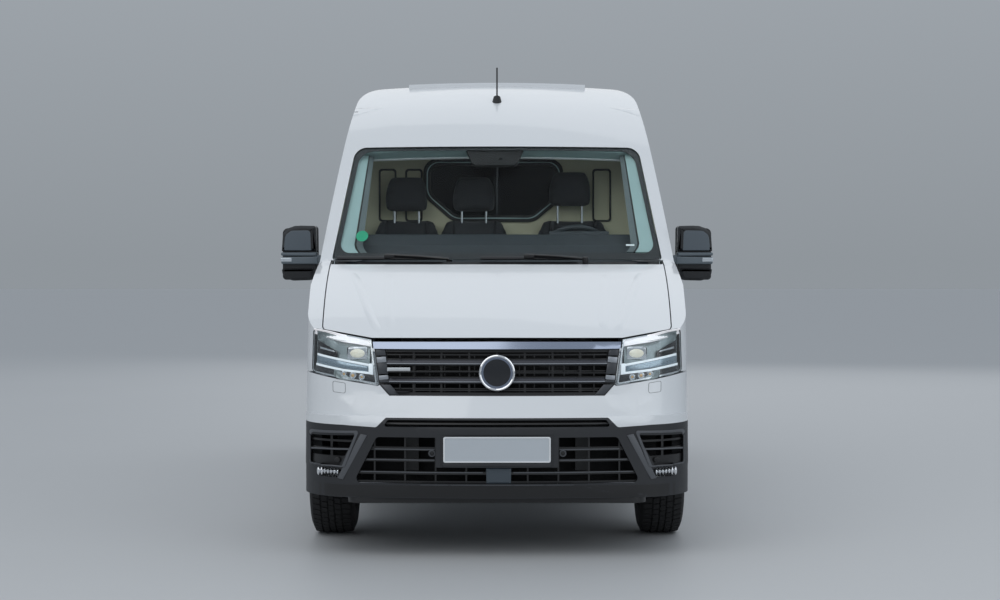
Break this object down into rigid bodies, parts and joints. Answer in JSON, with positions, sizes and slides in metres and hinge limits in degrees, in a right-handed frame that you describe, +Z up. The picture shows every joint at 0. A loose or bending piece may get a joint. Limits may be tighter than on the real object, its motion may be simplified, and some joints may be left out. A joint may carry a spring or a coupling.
{
  "type": "panel van",
  "caption": "High-roof panel van with hinged cab and rear doors, opening bonnet, steered front wheels and an empty load space behind a bulkhead.",
  "frame": {"origin": "on the ground, midway between the bumpers and the sides of the closed van", "axes": "+X to the van's own left, +Y to the rear along its length, +Z up; the front faces -Y"},
  "size_m": [2.424, 5.986, 2.649],
  "materials": {
    "white_paint": "gloss",
    "grey_plastic": "grained",
    "black_plastic": "satin",
    "bright_trim": "polished",
    "clear_glass": "clear",
    "tinted_glass": "tinted",
    "lamp_body": "bright",
    "red_lamp": "gloss",
    "rubber": "matt",
    "wheel_steel": "satin",
    "chassis_steel": "painted dark",
    "engine_metal": "rough",
    "seat_cloth": "woven",
    "liner_board": "matt",
    "plate_blank": "satin",
    "tank_plastic": "matt"
  },
  "bodies": {
    "van": {"roof_panel": "white_paint", "side_panel_left": "white_paint", "side_panel_right": "white_paint", "sliding_door": "white_paint", "rear_frame": "white_paint", "cab_frame": "white_paint", "windscreen": "clear_glass", "wings": "white_paint", "scuttle": "black_plastic", "front_bumper": "white_paint", "bumper_lower": "grey_plastic", "lower_slats": "black_plastic", "upper_grille": "grey_plastic", "grille_trim": "bright_trim", "fog_lamps": "clear_glass", "headlamps": "lamp_body", "headlamp_lenses": "clear_glass", "tail_lamps": "red_lamp", "rear_bumper": "grey_plastic", "bulkhead": "liner_board", "bulkhead_window": "tinted_glass", "floor_pan": "white_paint", "dashboard": "black_plastic", "driver_seat": "seat_cloth", "passenger_bench": "seat_cloth", "wipers": "black_plastic", "antenna": "black_plastic", "wheel_liners": "black_plastic", "undertray": "black_plastic", "side_mouldings": "grey_plastic", "front_plate": "plate_blank", "chassis_rails": "chassis_steel", "cross_members": "chassis_steel", "bumper_beam": "chassis_steel", "front_subframe": "chassis_steel", "rear_axle": "chassis_steel", "engine_block": "engine_metal", "radiator": "chassis_steel", "fuel_tank": "tank_plastic", "exhaust": "wheel_steel"},
    "knuckle_left": {"knuckle_left": "chassis_steel"},
    "knuckle_right": {"knuckle_right": "chassis_steel"},
    "wheel_front_left": {"tyre_front_left": "rubber", "rim_front_left": "wheel_steel"},
    "wheel_front_right": {"tyre_front_right": "rubber", "rim_front_right": "wheel_steel"},
    "wheel_rear_left": {"tyre_rear_left": "rubber", "rim_rear_left": "wheel_steel"},
    "wheel_rear_right": {"tyre_rear_right": "rubber", "rim_rear_right": "wheel_steel"},
    "front_door_left": {"front_door_left": "white_paint", "door_glass_left": "tinted_glass", "mirror_left": "grey_plastic"},
    "front_door_right": {"front_door_right": "white_paint", "door_glass_right": "tinted_glass", "mirror_right": "grey_plastic"},
    "rear_door_left": {"rear_door_left": "white_paint"},
    "rear_door_right": {"rear_door_right": "white_paint"},
    "bonnet": {"bonnet": "white_paint"},
    "steering_wheel": {"steering_wheel": "black_plastic"}
  },
  "joints": [
    {"name": "steer_left", "type": "hinge", "parent": "van", "child": "knuckle_left", "pos_m": [0.79, -1.992, 0.356], "axis": [0, 0, 1], "range_deg": [-35, 35]},
    {"name": "steer_right", "type": "hinge", "parent": "van", "child": "knuckle_right", "pos_m": [-0.79, -1.992, 0.356], "axis": [0, 0, 1], "range_deg": [-35, 35]},
    {"name": "column_turn", "type": "hinge", "parent": "van", "child": "steering_wheel", "pos_m": [0.465, -1.023, 1.51], "axis": [0, 0.7433, 0.669], "range_deg": [-525, 525]},
    {"name": "wheel_front_left_spin", "type": "hinge", "parent": "knuckle_left", "child": "wheel_front_left", "pos_m": [0.8685, -1.992, 0.356], "axis": [1, 0, 0], "continuous": true},
    {"name": "wheel_front_right_spin", "type": "hinge", "parent": "knuckle_right", "child": "wheel_front_right", "pos_m": [-0.8685, -1.992, 0.356], "axis": [1, 0, 0], "continuous": true},
    {"name": "wheel_rear_left_spin", "type": "hinge", "parent": "van", "child": "wheel_rear_left", "pos_m": [0.8685, 1.648, 0.356], "axis": [1, 0, 0], "continuous": true},
    {"name": "wheel_rear_right_spin", "type": "hinge", "parent": "van", "child": "wheel_rear_right", "pos_m": [-0.8685, 1.648, 0.356], "axis": [1, 0, 0], "continuous": true},
    {"name": "front_door_left_hinge", "type": "hinge", "parent": "van", "child": "front_door_left", "pos_m": [1.012, -1.847, 1], "axis": [0, 0, -1], "range_deg": [0, 70]},
    {"name": "front_door_right_hinge", "type": "hinge", "parent": "van", "child": "front_door_right", "pos_m": [-1.012, -1.847, 1], "axis": [0, 0, 1], "range_deg": [0, 70]},
    {"name": "rear_door_left_hinge", "type": "hinge", "parent": "van", "child": "rear_door_left", "pos_m": [0.906, 2.954, 1.4], "axis": [0, 0, -1], "range_deg": [0, 180]},
    {"name": "rear_door_right_hinge", "type": "hinge", "parent": "van", "child": "rear_door_right", "pos_m": [-0.906, 2.954, 1.4], "axis": [0, 0, 1], "range_deg": [0, 180]},
    {"name": "bonnet_hinge", "type": "hinge", "parent": "van", "child": "bonnet", "pos_m": [0, -1.768, 1.411], "axis": [-1, 0, 0], "range_deg": [0, 50]}
  ],
  "couplings": [
    {"joint": "steer_right", "follows": "steer_left", "ratio": 1},
    {"joint": "column_turn", "follows": "steer_left", "ratio": 15}
  ]
}
